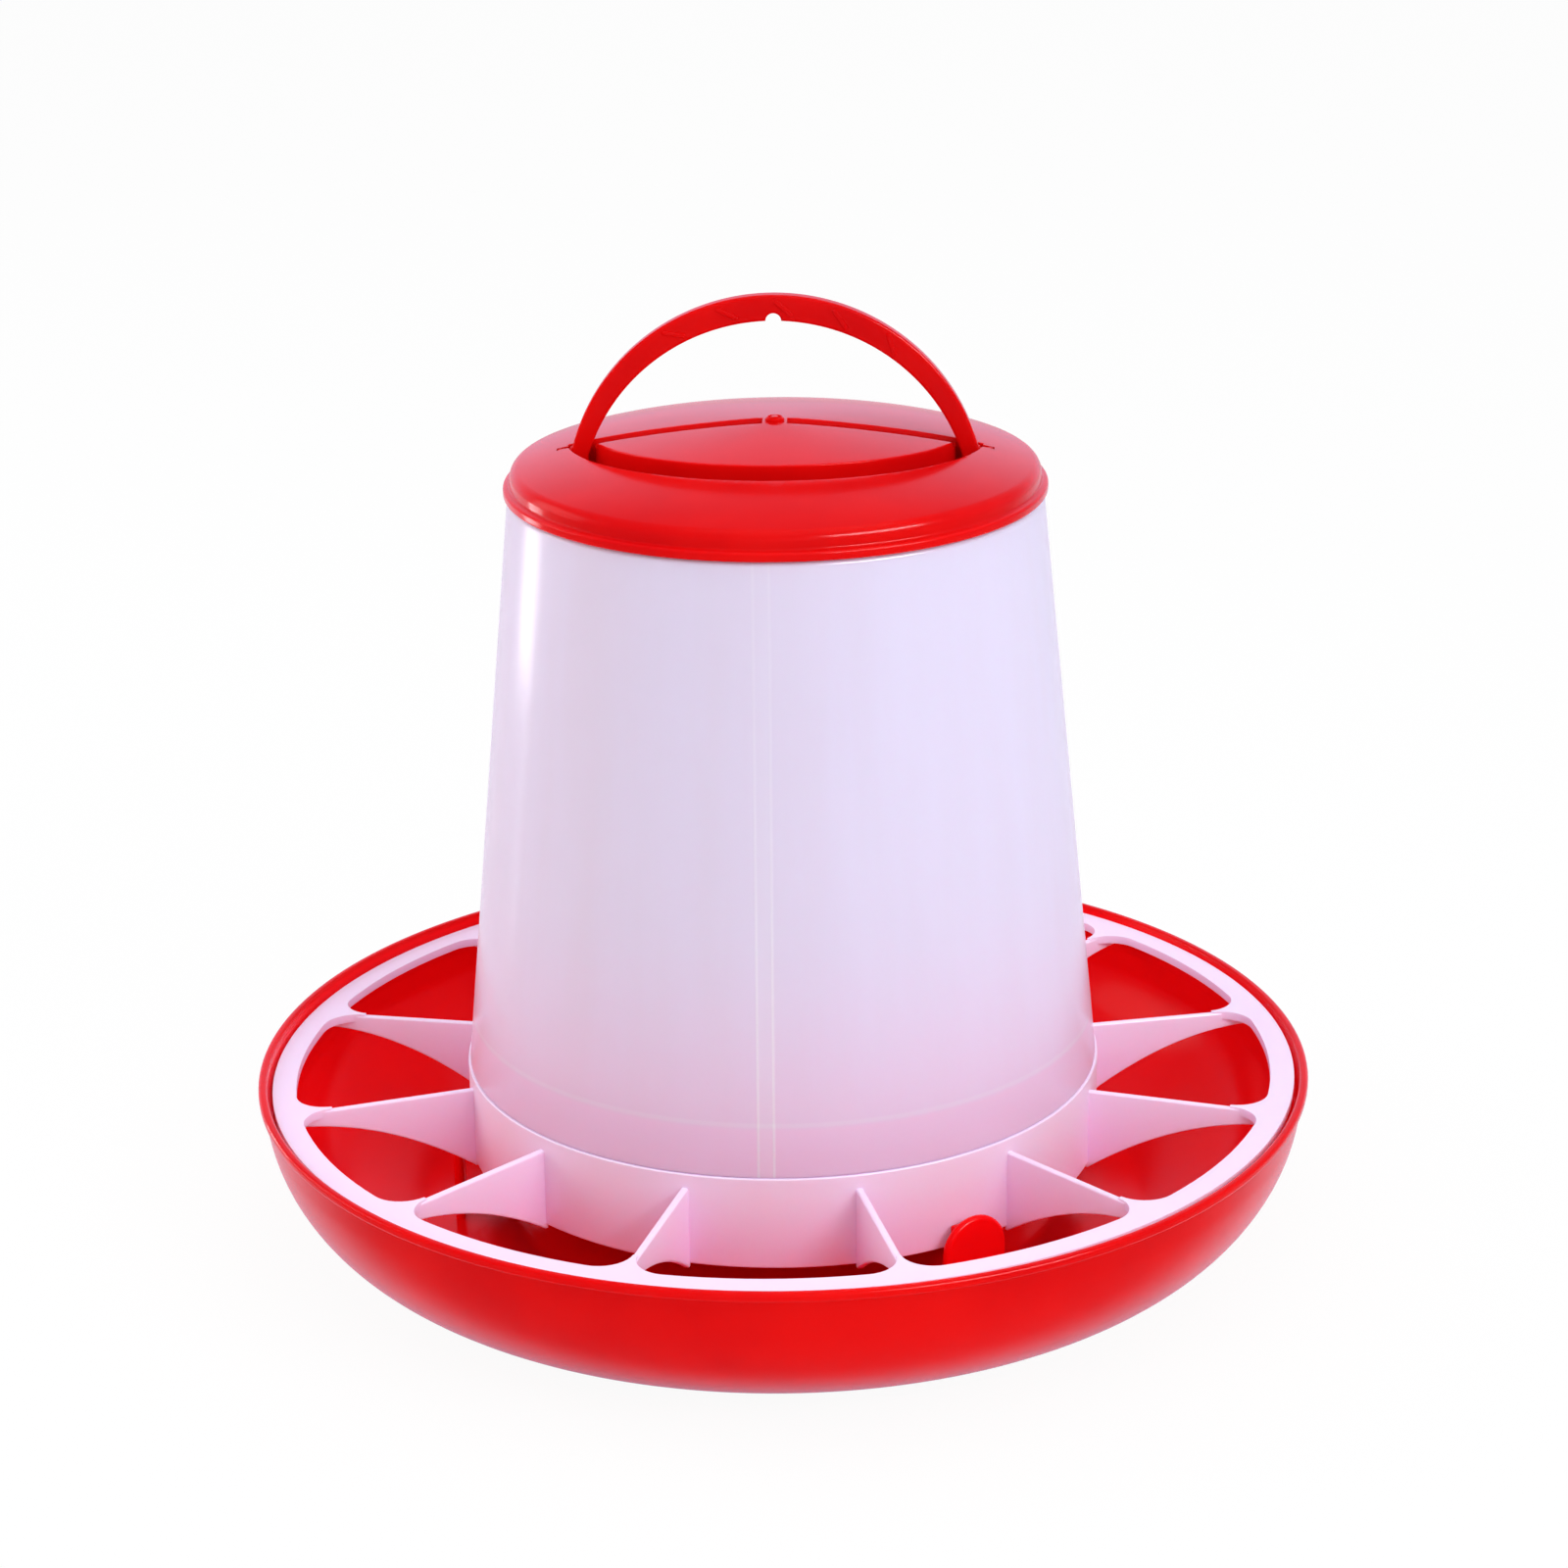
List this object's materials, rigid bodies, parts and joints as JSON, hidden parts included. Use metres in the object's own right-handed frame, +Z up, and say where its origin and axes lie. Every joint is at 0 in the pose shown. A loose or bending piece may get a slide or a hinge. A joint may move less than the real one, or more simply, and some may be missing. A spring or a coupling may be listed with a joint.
{
  "type": "automatic chicken feeder",
  "caption": "Gravity poultry feeder: tapered translucent hopper over a round pan with a finned grill, domed lid and folding carry handle.",
  "frame": {"origin": "centre of the pan's underside, on the feeder's axis, at the height of the surface it stands on", "axes": "+Z up along the hopper's axis, +X along the handle's hinge to the viewer's right, -Y to the viewer and to the side the handle folds to"},
  "size_m": [0.27, 0.27, 0.2415],
  "materials": {
    "red_plastic": "glossy injection-moulded polypropylene, pillar-box red",
    "white_plastic": "semi-gloss natural-white polypropylene, slightly translucent",
    "milky_plastic": "smooth translucent milky polypropylene with a faint lilac cast"
  },
  "bodies": {
    "pan": {"feed_pan": "red_plastic"},
    "grill": {"feed_grill": "white_plastic"},
    "barrel": {"hopper_barrel": "milky_plastic"},
    "lid": {"lid": "red_plastic"},
    "handle": {"carry_handle": "red_plastic"}
  },
  "joints": [
    {"name": "grill_twist", "type": "hinge", "parent": "pan", "child": "grill", "pos_m": [0, 0, 0.036], "axis": [0, 0, 1], "range_deg": [-3, 12]},
    {"name": "barrel_lift", "type": "slide", "parent": "grill", "child": "barrel", "axis": [0, 0, 1], "range_m": [0, 0.06]},
    {"name": "lid_lift", "type": "slide", "parent": "barrel", "child": "lid", "axis": [0, 0, 1], "range_m": [0, 0.05]},
    {"name": "handle_fold", "type": "hinge", "parent": "lid", "child": "handle", "pos_m": [0, 0, 0.20183], "axis": [1, 0, 0], "range_deg": [0, 90]}
  ]
}
